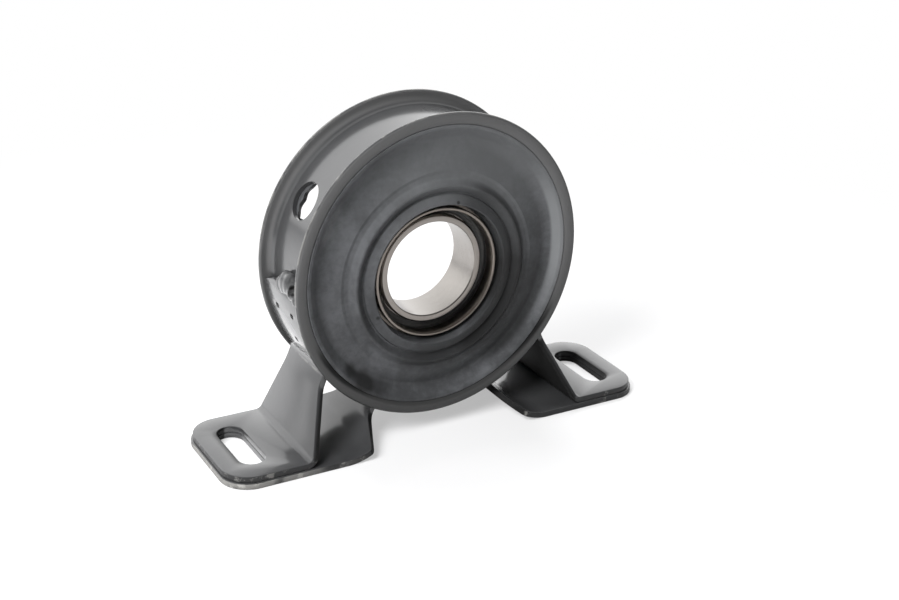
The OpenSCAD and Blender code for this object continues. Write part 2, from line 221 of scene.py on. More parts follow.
def section(name, corners, axis_z, closed):
    """A wire section through the axis: each corner is a radius, a distance along Y and a rounding."""
    places = [point(r, y, axis_z) for r, y, _ in corners]
    piece = dot(name, places[0])
    for before, after in zip(places, places[1:]):
        draw_on(after - before)
    if closed:
        pick(piece, lambda co: (co - places[0]).length < 1e-7 or (co - places[-1]).length < 1e-7)
        bpy.ops.mesh.edge_face_add()
    count = len(places)
    for i, (_, _, rounding) in enumerate(corners):
        if rounding > 0:
            arm_a = places[i - 1] - places[i]
            arm_b = places[(i + 1) % count] - places[i]
            half = arm_a.angle(arm_b) / 2
            pick(piece, lambda co: (co - places[i]).length < 1e-7)
            bpy.ops.mesh.bevel(
                offset=rounding * MM / math.tan(half), affect="VERTICES",
                segments=max(3, round(math.degrees(math.pi - 2 * half) / 12)),
            )
    return piece


def spin(axis_z, steps):
    bpy.ops.mesh.select_all(action="SELECT")
    bpy.ops.mesh.spin(
        steps=steps, angle=math.tau, center=point(0, 0, axis_z), axis=(0, 1, 0)
    )


def turned(name, corners, axis_z, steps=192, closed=True):
    """A piece turned about an axis along Y."""
    piece = section(name, corners, axis_z, closed)
    spin(axis_z, steps)
    end()
    close_up(piece)
    return piece


def stepped(start, stop, count):
    """Plain points along the band between two distances, so that a cut stays local."""
    return [start + (stop - start) * i / count for i in range(1, count)]


# Steel ring


def vent_cutter(radius, lap=0.0):
    """A drill through the band on the left. A lap leaves a wavy edge at the rear of the hole."""
    out = Vector((-math.cos(VENT_RISE), 0, math.sin(VENT_RISE)))
    centre = point(0, VENT_Y, RING_Z) + out * BAND_IN * MM
    bpy.ops.object.select_all(action="DESELECT")
    bpy.ops.mesh.primitive_cylinder_add(vertices=VENT_SIDES, radius=radius * MM, depth=16 * MM)
    drill = begin("drill")
    if lap:
        spokes = sorted({round(math.atan2(v.co.y, v.co.x), 3) for v in drill.data.vertices})
        for spoke in spokes:
            rear = math.cos(spoke * 1.3) if abs(spoke) < 1.2 else 0
            scale = 1 - lap * rear**0.6 * (0.88 + 0.12 * math.sin(7 * spoke + 1))
            pick(drill, lambda co: abs(math.atan2(co.y, co.x) - spoke) < 0.01)
            bpy.ops.transform.resize(value=(scale, scale, 1), center_override=(0, 0, 0))
        # The inner end stops short of the front wall, and the drill widens inwards
        pick(drill, lambda co: co.z < 0)
        bpy.ops.transform.translate(value=point(0, 0, 5))
        for side, scale in ((1, 0.1), (-1, 1.25)):
            pick(drill, lambda co: co.z * side > 0)
            bpy.ops.transform.resize(value=(scale, scale, 1), center_override=(0, 0, 0))
    end()
    turn = Matrix((Vector((0, 1, 0)), out.cross(Vector((0, 1, 0))), out)).transposed().to_4x4()
    drill.matrix_world = Matrix.Translation(centre) @ turn
    only(drill)
    bpy.ops.object.transform_apply(location=True, rotation=True, scale=True)
    return drill


def steel_ring():
    groove = [(BAND_R, y, 0) for y in stepped(RING_FRONT + 6, RING_REAR - 6, 17)]
    inside = [(BAND_IN, y, 0) for y in stepped(RING_REAR - 6, RING_FRONT + 6, 17)]
    ring = turned("steel_ring", [
        (BAND_IN, RING_FRONT, LIP_BEND + LIP_T),
        (LIP_R, RING_FRONT, LIP_EDGE),
        (LIP_R, RING_FRONT + LIP_T, LIP_EDGE),
        (BAND_R, RING_FRONT + LIP_T, LIP_BEND),
        *groove,
        (BAND_R, RING_REAR - LIP_T, LIP_BEND),
        (LIP_R, RING_REAR - LIP_T, LIP_EDGE),
        (LIP_R, RING_REAR, LIP_EDGE),
        (BAND_IN, RING_REAR, LIP_BEND + LIP_T),
        *inside,
    ], RING_Z, steps=RING_STEPS)
    cut(ring, vent_cutter(VENT_R))
    close_up(ring, reach=0.01)
    smooth(ring)
    return ring


# Rubber


def lower(piece, chosen, distance):
    """Moves the chosen vertices of a piece down."""
    only(piece)
    bpy.ops.object.mode_set(mode="EDIT")
    bpy.ops.mesh.select_all(action="DESELECT")
    bpy.ops.object.mode_set(mode="OBJECT")
    piece.data.vertices.foreach_set("select", chosen)
    bpy.ops.object.mode_set(mode="EDIT")
    bpy.ops.transform.translate(value=point(0, 0, -distance))
    end()


def rubber_ring():
    """One moulding: the lining, the bowl and the collar, whose axis lies lower than the ring's."""
    back = -5.1
    face = -12.3
    valley = 52.0
    valley_y = -8.0
    flank = [(r, valley_y - 0.25 * (valley - r), 0) for r in stepped(44.2, 48.6, 6)]
    lining = [(LINING_R, y, 0) for y in stepped(-5.5, LINING_REAR, 16)]
    inner = [(LINING_IN - 0.02 * i, y, 0) for i, y in enumerate(stepped(17.0, -1.0, 14))]
    ring = turned("rubber_ring", [
        *flank,
        (valley, valley_y, 4.6),
        (56.8, face + 0.1, 1.6),
        (58.5, face - 0.4, 0.3),
        (58.3, face + 0.3, 0),
        (57.2, -11.2, 0),
        (56.2, -9.4, 0),
        (LINING_R, -7.5, 0),
        *lining,
        (LINING_R, LINING_REAR, 0),
        (LINING_IN, LINING_REAR, 0.8),
        *inner,
        (53.15, back, 2.4),
        *[(r, back, 0) for r in stepped(51.0, 45.0, 6)],
        (44.8, back, 4.0),
        (COLLAR_R, -1.1, 4.0),
        (COLLAR_R, 15.55, 0.8),
        (COLLAR_IN, 15.55, 0.8),
        (COLLAR_IN, 12.55, 0),
        (COLLAR_SEAT, 12.55, 0),
        (COLLAR_SEAT, -4.75, 0),
        (COLLAR_IN, -4.75, 0),
        (COLLAR_IN, -7.0, 0.3),
        (29.3, -7.9, 0.3),
        (29.3, face, 0.5),
        (33.4, -10.9, 0.3),
        (33.8, -10.0, 0.2),
        (34.4, -10.0, 0.2),
        (37.2, face - 0.2, 1.2),
        (40.0, -10.2, 1.6),
        (42.0, -10.0, 1.0),
        (43.2, -10.2, 0.8),
    ], RING_Z, steps=RING_STEPS)
    shares = []
    for vertex in ring.data.vertices:
        away = math.hypot(vertex.co.x, vertex.co.z - RING_Z * MM) / MM
        shares.append(round(min(1, max(0, (BOWL_FIXED - away) / (BOWL_FIXED - BOWL_FREE))), 3))
    for share in sorted(set(shares) - {0}):
        lower(ring, [each == share for each in shares], share * (RING_Z - BORE_Z))
    cut(ring, vent_cutter(LINING_VENT_R, LINING_VENT_LAP))
    smooth(ring, 40)
    return ring


# Bearing


def shaft_race():
    """The inner race, with its groove for the balls between two shoulders."""
    raceway = [
        (BALLS_R - RACEWAY_R * math.cos(a), BEARING_Y + RACEWAY_R * math.sin(a), 0)
        for a in [math.radians(d) for d in range(50, -51, -10)]
    ]
    race = turned("shaft_race", [
        (BORE_R, BEARING_Y + RACE_HALF, 0.5),
        (BORE_R, BEARING_Y - RACE_HALF, 0.5),
        (RACE_R - 0.7, BEARING_Y - RACE_HALF, 0.1),
        (RACE_R, BEARING_Y - RACE_HALF + 0.75, 0.2),
        (RACE_R, BEARING_Y - SHOULDER_HALF, 0),
        (SHOULDER_R, BEARING_Y - SHOULDER_HALF, 0.2),
        *reversed(raceway),
        (SHOULDER_R, BEARING_Y + SHOULDER_HALF, 0.2),
        (RACE_R, BEARING_Y + SHOULDER_HALF, 0),
        (RACE_R, BEARING_Y + RACE_HALF - 0.75, 0.2),
        (RACE_R - 0.7, BEARING_Y + RACE_HALF, 0.1),
    ], BORE_Z)
    smooth(race)
    return race


def seal(name, side):
    """A seal disc with a moulded rib and a thin running lip."""
    near = BEARING_Y + side * 5.5
    far = BEARING_Y + side * 6.8
    disc = turned(name, [
        (23.3, near, 0),
        (23.3, near + side * 0.5, 0.2),
        (24.6, near + side * 0.8, 0.3),
        (25.2, far, 0.2),
        (25.9, far, 0.2),
        (26.3, far - side * 0.3, 0.2),
        (29.0, far - side * 0.3, 0.2),
        (29.6, far, 0.2),
        (30.95, far, 0.2),
        (30.95, near, 0),
    ], BORE_Z)
    smooth(disc)
    return disc


def dust_shield(name, side):
    """A flange on the outer race with a sleeve whose end is rolled a little outwards."""
    seat = BEARING_Y + side * 7.5
    shield = turned(name, [
        (25.9, seat, 0.8),
        (25.9, seat + side * 4.4, 0.9),
        (26.2, seat + side * 5.6, 0.5),
        (27.4, seat + side * 5.6, 0.5),
        (27.6, seat + side * 4.6, 0.4),
        (27.0, seat + side * 3.7, 0.5),
        (27.0, seat + side * 1.1, 0.3),
        (33.95, seat + side * 1.1, 0.3),
        (33.95, seat, 0.3),
    ], BORE_Z)
    smooth(shield)
    return shield


# Bracket


def bend(centre, radius, start, stop, steps):
    """Points of X and Z along an arc."""
    angles = [start + (stop - start) * i / steps for i in range(steps + 1)]
    return [(centre[0] + radius * math.cos(a), centre[1] + radius * math.sin(a)) for a in angles]


def eased(value, soft):
    """0 before a corner and the value itself after it, with the corner rounded off."""
    if abs(value) < soft:
        return (value + soft)**2 / (4 * soft)
    return max(0, value)


def narrowed(share, front, rear):
    """Front and rear edge of a sheet that narrows from its foot to a strap, at a share of the way."""
    return -FOOT_Y + (front + FOOT_Y) * share, FOOT_Y + (rear - FOOT_Y) * share


def folded(name, path, edges, up):
    """A sheet drawn along a folded path, its faces turned up or down; it is thickened later, on one
    side.
    """
    front, rear = edges[0]
    piece = dot(name, point(path[0][0], front, path[0][1]))
    draw_on(point(0, rear - front, 0))
    bpy.ops.mesh.select_all(action="SELECT")
    for i in range(1, len(path)):
        new_front, new_rear = edges[i]
        shift = (new_front + new_rear - front - rear) / 2
        draw_on(point(path[i][0] - path[i - 1][0], shift, path[i][1] - path[i - 1][1]))
        stretch = (new_rear - new_front) / (rear - front)
        middle = point(path[i][0], (new_front + new_rear) / 2, path[i][1])
        bpy.ops.transform.resize(value=(1, stretch, 1), center_override=middle)
        front, rear = new_front, new_rear
    bpy.ops.mesh.select_all(action="SELECT")
    bpy.ops.mesh.normals_make_consistent(inside=False)
    end()
    foot = piece.data.polygons[0]
    if (foot.normal.z > 0) != up:
        only(piece)
        bpy.ops.object.mode_set(mode="EDIT")
        bpy.ops.mesh.select_all(action="SELECT")
        bpy.ops.mesh.flip_normals()
        end()
    return piece


def round_feet(piece, inset):
    """Rounds the outer corners of a foot while it is still a plain sheet."""
    x = (FOOT_X - inset) * MM
    y = (FOOT_Y - inset) * MM
    only(piece)
    bpy.ops.object.mode_set(mode="EDIT")
    pick(piece, lambda co: abs(abs(co.x) - x) < 1e-6 and abs(abs(co.y) - y) < 1e-6)
    bpy.ops.mesh.bevel(offset=FOOT_CORNER * MM, affect="VERTICES", segments=14)
    end()


def slot_cutter(x):
    """A block with its upright edges rounded to a full slot."""
    bpy.ops.object.select_all(action="DESELECT")
    bpy.ops.mesh.primitive_cube_add(size=MM)
    block = begin("slot_punch")
    bpy.ops.transform.resize(value=(SLOT_W, SLOT_L, 14))
    bpy.ops.mesh.select_mode(type="EDGE")
    bpy.ops.mesh.select_all(action="DESELECT")
    bpy.ops.object.mode_set(mode="OBJECT")
    for edge in block.data.edges:
        a, b = (block.data.vertices[v].co for v in edge.vertices)
        edge.select = abs(a.z - b.z) > 10 * MM
    bpy.ops.object.mode_set(mode="EDIT")
    bpy.ops.mesh.bevel(offset=SLOT_W / 2 * 0.999 * MM, segments=16, affect="EDGES")
    bpy.ops.mesh.select_mode(type="VERT")
    bpy.ops.mesh.select_all(action="SELECT")
    bpy.ops.transform.translate(value=point(x, 0, 0))
    end()
    return block


def punched_sheet(piece, slots):
    """Gives a folded sheet its thickness, its slots and its softened edges."""
    apply_modifier(piece, "SOLIDIFY", thickness=SHEET * MM, offset=-1, use_even_offset=True)
    for x in slots:
        cut(piece, slot_cutter(x))
    apply_modifier(
        piece, "BEVEL", width=0.35 * MM, segments=3, limit_method="ANGLE",
        angle_limit=math.radians(50), use_clamp_overlap=False,
    )
    smooth(piece)


def saddle():
    """The lower layer: both feet, the sweeps up from them and the strap under the ring."""
    axis = Vector((0, RING_Z))
    slope = Vector((math.sin(SWEEP_SLOPE), math.cos(SWEEP_SLOPE)))
    up = Vector((-math.cos(SWEEP_SLOPE), math.sin(SWEEP_SLOPE)))
    sweep_turn = Vector((SWEEP_X, SHEET + SWEEP_BEND))
    out = slope.dot(sweep_turn - axis) - SWEEP_BEND - SHEET - SADDLE_BEND
    turn = axis + out * slope - math.sqrt((STRAP_IN + SHEET + SADDLE_BEND)**2 - out**2) * up
    lean = math.atan2(RING_Z - turn.y, -turn.x)
    half = [
        (FOOT_X, SHEET),
        *bend(sweep_turn, SWEEP_BEND, math.pi * 1.5, math.pi * 1.5 - SWEEP_SLOPE, 40),
        *bend(turn, SADDLE_BEND + SHEET, math.pi / 2 - SWEEP_SLOPE, lean, 10),
        *bend(axis, STRAP_IN, lean + math.pi, math.pi * 1.5, 10)[1:],
    ]
    path = half + [(-x, z) for x, z in reversed(half[:-1])]
    edges = []
    for x, _ in path:
        share = (FOOT_IN - abs(x)) / (FOOT_IN - NECK_IN)
        edges.append(narrowed(eased(share, 0.14) - eased(share - 1, 0.2), STRAP_FRONT, STRAP_REAR))
    piece = folded("saddle", path, edges, up=True)
    round_feet(piece, 0)
    punched_sheet(piece, (SLOT_X, -SLOT_X))
    return piece


def right_leg():
    """The upper layer of one foot, its leg and the strap up the ring's flank."""
    flank_out = FLANK_IN + SHEET
    normal = Vector((math.cos(LEG_LEAN), math.sin(LEG_LEAN)))
    up = Vector((-math.sin(LEG_LEAN), math.cos(LEG_LEAN)))
    axis = Vector((0, RING_Z))
    corner = Vector((LEG_X, 2 * SHEET))
    foot_turn = corner + LEG_BEND * Vector((1 / math.tan(math.pi / 4 + LEG_LEAN / 2), 1))
    out = normal.dot(corner - axis)
    neck_out = out + NECK_BEND
    neck = axis + neck_out * normal - math.sqrt((flank_out + NECK_BEND)**2 - neck_out**2) * up
    neck_lean = math.atan2(RING_Z - neck.y, -neck.x)
    inner = out - SHEET
    taper_top = RING_Z + inner * normal.y - math.sqrt(LIP_R**2 - inner**2) * up.y - TAPER_DROP
    rise = [
        corner + (taper_top - corner.y) * share / up.y * up
        for share in (0.92, 0.96, 1, 1.04, 1.08)
    ]
    path = [
        (FOOT_X - LAYER_STEP, 2 * SHEET),
        *bend(foot_turn, LEG_BEND, math.pi * 1.5, math.pi + LEG_LEAN, 8),
        *[(place.x, place.y) for place in rise],
        *bend(neck, NECK_BEND, math.pi + LEG_LEAN, neck_lean, 8),
        *bend(axis, flank_out, neck_lean + math.pi, math.tau - STRAP_END, 24)[1:],
    ]
    edges = []
    for _, z in path:
        share = (z - 2 * SHEET) / (taper_top - 2 * SHEET)
        front, rear = narrowed(share - eased(share - 1, 0.08), FLANK_FRONT, FLANK_REAR)
        edges.append((max(front, -FOOT_Y + LAYER_STEP), min(rear, FOOT_Y - LAYER_STEP)))
    tongue = bend(axis, flank_out, math.tau - STRAP_END, math.tau - TONGUE_END, TONGUE_STEPS)[1:]
    for i, place in enumerate(tongue, 1):
        inset = TONGUE_IN * i / TONGUE_STEPS
        path.append(place)
        edges.append((FLANK_FRONT + inset, FLANK_REAR - inset))
    piece = folded("right_leg_sheet", path, edges, up=True)
    round_feet(piece, LAYER_STEP)
    punched_sheet(piece, (SLOT_X,))
    for degrees, y in SPOT_MARKS:
        cut(piece, lump("spot", on_flank(flank_out, degrees, y), SPOT_SIZE, degrees, twist=35))
    smooth(piece)
    return piece


def on_flank(away, degrees, y):
    """A place on the right flank, by its distance from the ring's axis and its angle above it."""
    angle = math.radians(degrees)
    return point(away * math.cos(angle), y, RING_Z + away * math.sin(angle))


def lump(name, place, size, degrees, twist=0):
    """A ball squashed to a size across the flank, along Y and up the flank, set down at a place."""
    bpy.ops.object.select_all(action="DESELECT")
    bpy.ops.mesh.primitive_uv_sphere_add(segments=24, ring_count=16, radius=MM)
    piece = begin(name)
    bpy.ops.mesh.select_all(action="SELECT")
    bpy.ops.transform.resize(value=size, center_override=(0, 0, 0))
    bpy.ops.transform.rotate(value=math.radians(twist), orient_axis="X", center_override=(0, 0, 0))
    bpy.ops.transform.rotate(value=math.radians(degrees), orient_axis="Y", center_override=(0, 0, 0))
    bpy.ops.transform.translate(value=place)
    end()
    return piece


def weld_bead():
    """The weld over the end of a flank strap: lumps run together, with a pit at the front that the
    paint darkens as painted shade.
    """
    lumps = [
        lump(f"lump_{i}", on_flank(BEAD_R, degrees, y), size, degrees)
        for i, (degrees, y, size) in enumerate(BEAD_LUMPS)
    ]
    only(lumps[0])
    for other in lumps[1:]:
        other.select_set(True)
    bpy.ops.object.join()
    bead = bpy.context.object
    bead.name = bead.data.name = "right_weld_bead"
    apply_modifier(bead, "REMESH", mode="VOXEL", voxel_size=0.32 * MM)
    apply_modifier(bead, "SMOOTH", factor=0.8, iterations=24)
    cut(bead, lump("pit", on_flank(62.2, -1.6, -4.9), (2.4, 1.0, 2.9), -1.6, twist=-20))
    close_up(bead, reach=0.06)
    smooth(bead, 60)
    return bead


def mirrored_copy(piece, name):
    only(piece)
    bpy.ops.object.duplicate()
    copy = bpy.context.object
    copy.name = name
    copy.data.name = name
    bpy.ops.object.mode_set(mode="EDIT")
    bpy.ops.mesh.select_all(action="SELECT")
    bpy.ops.transform.resize(value=(-1, 1, 1), center_override=(0, 0, 0))
    bpy.ops.mesh.normals_make_consistent(inside=False)
    end()
    return copy


# Shader nodes written as arithmetic


class Shade:
    """A node socket of a material. Arithmetic on it adds Math nodes."""

    def __init__(self, tree, socket=None):
        self.tree = tree
        self.socket = socket

    def node(self, kind, settings=None, inputs=None, out=0):
        """Any node: its settings first, then the values or links of its sockets."""
        made = self.tree.nodes.new(kind)
        for key, value in (settings or {}).items():
            if key == "stops":
                ramp = made.color_ramp
                for stop, (place, colour) in enumerate(value):
                    if stop >= len(ramp.elements):
                        ramp.elements.new(place)
                    ramp.elements[stop].position = place
                    ramp.elements[stop].color = (*colour, 1)
            else:
                setattr(made, key, value)
        for key, value in (inputs or {}).items():
            if isinstance(value, Shade):
                self.tree.links.new(value.socket, made.inputs[key])
            else:
                made.inputs[key].default_value = value
        return Shade(self.tree, made.outputs[out])

    def math(self, operation, *values, clamp=False):
        inputs = dict(enumerate(values))
        return self.node("ShaderNodeMath", {"operation": operation, "use_clamp": clamp}, inputs)

    def __add__(self, other):
        return self.math("ADD", self, other)

    __radd__ = __add__

    def __mul__(self, other):
        return self.math("MULTIPLY", self, other)

    __rmul__ = __mul__

    def __sub__(self, other):
        return self.math("SUBTRACT", self, other)

    def __rsub__(self, other):
        return self.math("SUBTRACT", other, self)

    def __pow__(self, other):
        return self.math("POWER", self, other)

    def size(self):
        return self.math("ABSOLUTE", self)

    def limited(self, high=1):
        return self.math("MINIMUM", self, high)

    def ramp(self, low, high):
        """0 below one value and 1 above another, smooth between."""
        return self.node(
            "ShaderNodeMapRange", {"interpolation_type": "SMOOTHSTEP"},
            {"Value": self, "From Min": low, "From Max": high},
        )

    def between(self, low, high):
        """Mixes two colours by this value."""
        return self.node(
            "ShaderNodeMix", {"data_type": "RGBA"}, {0: self, 6: low, 7: high}, out=2
        )


class Finish:
    """A material with its Object coordinates and its one surface shader."""

    def __init__(self, name):
        self.material = bpy.data.materials.new(name)
        self.material.use_nodes = True
        tree = self.material.node_tree
        self.surface = tree.nodes["Principled BSDF"]
        self.shade = Shade(tree)
        self.place = self.shade.node("ShaderNodeTexCoord", out=3)

    def noise(self, scale, detail=2.0, roughness=0.5, place=None):
        return self.shade.node(
            "ShaderNodeTexNoise", None,
            {"Vector": place or self.place, "Scale": scale, "Detail": detail, "Roughness": roughness},
        )

    def stretched(self, x, y, z):
        """Object coordinates scaled on each axis."""
        return self.shade.node(
            "ShaderNodeMapping", {"vector_type": "TEXTURE"},
            {"Vector": self.place, "Scale": (1 / x, 1 / y, 1 / z)},
        )

    def axis(self, index, place=None):
        """One coordinate of a place."""
        return self.shade.node("ShaderNodeSeparateXYZ", None, {0: place or self.place}, out=index)

    def facing(self, index):
        """One coordinate of the way that the surface faces."""
        return self.axis(index, self.shade.node("ShaderNodeTexCoord", out=1))

    def radius(self, axis_z):
        """Distance from an axis along Y at a height in millimetres, in millimetres."""
        x = self.axis(0) * 1000
        z = self.axis(2) * 1000 - axis_z
        return (x * x + z * z) ** 0.5

    def folded_place(self):
        """Object coordinates with the left side laid over the right."""
        x = self.axis(0)
        return self.shade.node(
            "ShaderNodeCombineXYZ", None, {0: x.size(), 1: self.axis(1), 2: self.axis(2)}
        )

    def near(self, point_mm, reach, fade, place=None):
        """1 close to a point in millimetres, falling to 0 over the fade."""
        away = self.shade.node(
            "ShaderNodeVectorMath", {"operation": "DISTANCE"},
            {0: place or self.place, 1: [v * MM for v in point_mm]}, out=1,
        )
        return 1 - (away * 1000).ramp(reach, reach + fade)

    def set(self, name, value):
        socket = self.surface.inputs[name]
        if isinstance(value, Shade):
            self.shade.tree.links.new(value.socket, socket)
        else:
            socket.default_value = value

    def bump(self, height, strength, distance):
        self.set("Normal", self.shade.node(
            "ShaderNodeBump", None, {"Height": height, "Strength": strength, "Distance": distance}
        ))


def grey(level, tint=(1, 1, 1)):
    return (*[level * t for t in tint], 1)


def black_paint():
    """Gloss black paint on pressed sheet, with orange peel, dust, burn marks at the welds and rubbed
    edges; painted shade on the faces that look at the middle, on the feet's cut edges and in the weld's
    pit, and a front lip face painted lighter towards the top.
    """
    finish = Finish("black_paint")
    cloud = finish.noise(60, 4, 0.6)
    specks = finish.noise(1500, 3, 0.7).ramp(0.72, 0.78)
    side, ahead, up = (finish.facing(i) for i in range(3))
    x, y, height = (finish.axis(i) * 1000 for i in range(3))
    away = finish.radius(RING_Z)
    in_rim = 1 - away.ramp(63.6, 64.2)
    # Rubbed: the lips' rims, and the sheared edges of the feet
    rim = away.ramp(63.1, 63.4) * in_rim * finish.noise(140, 3, 0.6).ramp(0.42, 0.6)
    outline = (x.size().ramp(89, 91) + y.size().ramp(20, 21.5)).limited()
    # The feet's cut edges: rubbed, and also painted darker as painted shade.
    sheared_wear_and_shade = outline * (1 - up.size().ramp(0.25, 0.6)) * (1 - height.ramp(5.2, 5.8))
    chips = finish.noise(210, 4, 0.65).ramp(0.56, 0.66)
    bare = (1 - height.ramp(2.3, 2.7)) * (-1 * x).ramp(30, 85) * finish.noise(90, 3).ramp(0.3, 0.5)
    wear = (0.25 * rim + 0.25 * specks + sheared_wear_and_shade * (0.35 * chips + 0.55 * bare)).limited()
    # Dull, in coat and roughness: the faces that look at the middle, the front lip's face and the
    # welds. Low down between the legs, the faces that look at the middle also carry painted shade in
    # their colour.
    inward_shade = (-1 * x * side).ramp(4, 14) * (1 - height.ramp(36, 50))
    front = (-1 * ahead).ramp(0.6, 0.9) * away.ramp(57.5, 58.5) * in_rim
    both = finish.folded_place()
    # Burn marks at the spot welds and weld scale; the first two points are the weld bead's pit,
    # darkened as painted shade.
    burn_and_pit_shade = finish.near((61.4, -4.9, 70.6), 0.9, 0.9, both)
    burn_and_pit_shade = burn_and_pit_shade + finish.near((61.3, -5.3, 68.2), 0.5, 0.8, both)
    for degrees, spot_y in SPOT_MARKS:
        spot = on_flank(FLANK_IN + SHEET, degrees, spot_y) / MM
        burn_and_pit_shade = burn_and_pit_shade + finish.near(spot, 1.0, 0.7, both)
    scale = finish.near((60.5, 2.5, 70.8), 5, 4, both) * finish.noise(330, 4, 0.7).ramp(0.4, 0.62)
    burn_and_pit_shade = (burn_and_pit_shade + 0.25 * scale).limited()
    dull = (0.85 * inward_shade + 0.6 * front + 0.75 * sheared_wear_and_shade + burn_and_pit_shade).limited()
    paint = cloud.between(grey(0.02, (1, 1.02, 1.06)), grey(0.036, (1, 1.01, 1.04)))
    # Painted light: the front lip's face is painted lighter towards the top.
    lip_face_top_light = height.ramp(10, 110).between(grey(0.03), grey(0.066, (1, 1, 1.01)))
    paint = front.between(paint, lip_face_top_light)
    # Painted shade: the faces that look at the middle, the weld bead's pit and the feet's cut edges are
    # painted near black.
    paint = (inward_shade + burn_and_pit_shade + 0.6 * sheared_wear_and_shade).limited().between(paint, grey(0.008))
    finish.set("Base Color", wear.between(paint, grey(0.26, (1, 0.98, 0.93))))
    finish.set("Roughness", 0.32 + 0.16 * cloud + 0.2 * wear + 0.2 * dull)
    finish.set("Specular IOR Level", 0.12)
    finish.set("Coat Weight", (1 - 0.8 * wear) * (1 - dull))
    finish.set("Coat Roughness", 0.16)
    finish.set("Coat IOR", 1.55)
    finish.bump(finish.noise(900, 2) + 2 * finish.noise(220, 2), 0.25, 0.00006)
    return finish.material


def mount_rubber():
    """Charcoal moulded rubber with pale bloom; painted light at the top and on the rim's right slope, a
    painted shadow of the bearing's collar at the lower right, painted shade round the collar, a painted
    highlight at the upper left, a darker patch at the lower left and a few nicks.
    """
    finish = Finish("moulded_rubber")
    cloud = finish.noise(38, 5, 0.65)
    fine = finish.noise(420, 4, 0.6)
    grain = finish.noise(2600, 2)
    bloom = (cloud + 0.35 * fine).ramp(0.5, 0.95)
    # Painted light: the top of the bowl is lighter.
    pale = finish.near((12, -9, 116), 16, 46)
    from_ring = finish.radius(RING_Z)
    from_bore = finish.radius(BORE_Z)
    # Painted highlight: a lighter band on the rim's slope at the right.
    edge = from_ring.ramp(53.4, 54.6) * finish.near((55, -11, 76), 8, 32)
    # Painted shadow of the bearing's collar, on the lower right of the bowl.
    hub_shadow = finish.near((38, -9, 44), 14, 24) * (1 - from_ring.ramp(53, 55.5))
    # Painted shade round the bearing's collar: a little all round, more under it and to its right.
    below = 0.8 * finish.near((10, -11, 38), 14, 26) * from_bore.ramp(33.5, 35)
    beside = finish.near((31, -11, 82), 17, 18)
    hub_shade = (1 - from_bore.ramp(38.2, 40.5)) * (0.25 + below + beside).limited()
    # A darker, smoother patch at the lower left.
    lower_left_patch = finish.near((-33.5, -10.5, 27.5), 2.5, 4.5) + finish.near((-39, -10, 33), 1, 4)
    lower_left_patch = (lower_left_patch + 0.6 * finish.near((-26, -11, 23.5), 2.5, 6)).limited()
    # Painted highlight: a lighter streak near the rim at the upper left.
    upper_left_highlight = finish.near((-46, -9, 98), 1.5, 6) + finish.near((-49, -9, 91), 1, 5)
    nicks = finish.near((6.8, -12, 97.6), 0.3, 0.7) + finish.near((-27.6, -11.5, 54.6), 0.4, 0.8)
    # Darkening: the painted shadow and painted shade of the collar, the patch at the lower left and the
    # nicks.
    dark = (0.55 * hub_shadow + 0.62 * hub_shade + 0.85 * lower_left_patch + 0.8 * nicks).limited(0.92)
    colour = bloom.between(grey(0.036, (0.97, 1, 1.05)), grey(0.08, (0.97, 1, 1.06)))
    # All of this lighter mix is painted light.
    light = (0.8 * edge + 0.45 * pale + upper_left_highlight * fine).limited()
    colour = light.between(colour, grey(0.13, (0.97, 1, 1.03)))
    finish.set("Base Color", dark.between(colour, grey(0.008)))
    finish.set("Roughness", 0.42 + 0.16 * cloud - 0.12 * lower_left_patch)
    finish.set("Specular IOR Level", 0.2)
    finish.bump(grain + 0.5 * fine, 0.2, 0.00005)
    return finish.material


def bare_steel(name, colour, pale, rough, lines):
    """Bare steel with turning lines round the bore and a little staining; faces that look along the
    axis are painted darker and browner as painted shade.
    """
    finish = Finish(name)
    along = finish.stretched(20, 9000, 20)
    turning = finish.noise(1, 3, 0.6, along)
    stain = finish.noise(150, 4, 0.6).ramp(0.45, 0.75)
    tone = (0.6 * stain + 0.4 * turning).between(colour, pale)
    # Painted shade: faces that look along the axis turn darker brown.
    end_face_shade = finish.facing(1).size().ramp(0.4, 0.7)
    tone = (0.45 * end_face_shade).between(tone, (0.19, 0.165, 0.145, 1))
    finish.set("Base Color", tone)
    finish.set("Metallic", 1.0)
    finish.set("Roughness", rough + 0.12 * stain + 0.1 * turning)
    finish.bump(turning, lines, 0.00003)
    return finish.material


def polished_ball():
    finish = Finish("polished_balls")
    haze = finish.noise(300, 3)
    finish.set("Base Color", haze.between(grey(0.7), grey(0.78, (1, 0.99, 0.98))))
    finish.set("Metallic", 1.0)
    finish.set("Roughness", 0.06 + 0.08 * haze)
    return finish.material


def seal_rubber():
    finish = Finish("seal_rubber")
    dust = finish.noise(500, 4, 0.6)
    finish.set("Base Color", dust.between(grey(0.018), grey(0.05, (1, 0.98, 0.93))))
    finish.set("Roughness", 0.45 + 0.2 * dust)
    finish.bump(dust, 0.2, 0.00004)
    return finish.material


# Lights, floor and camera


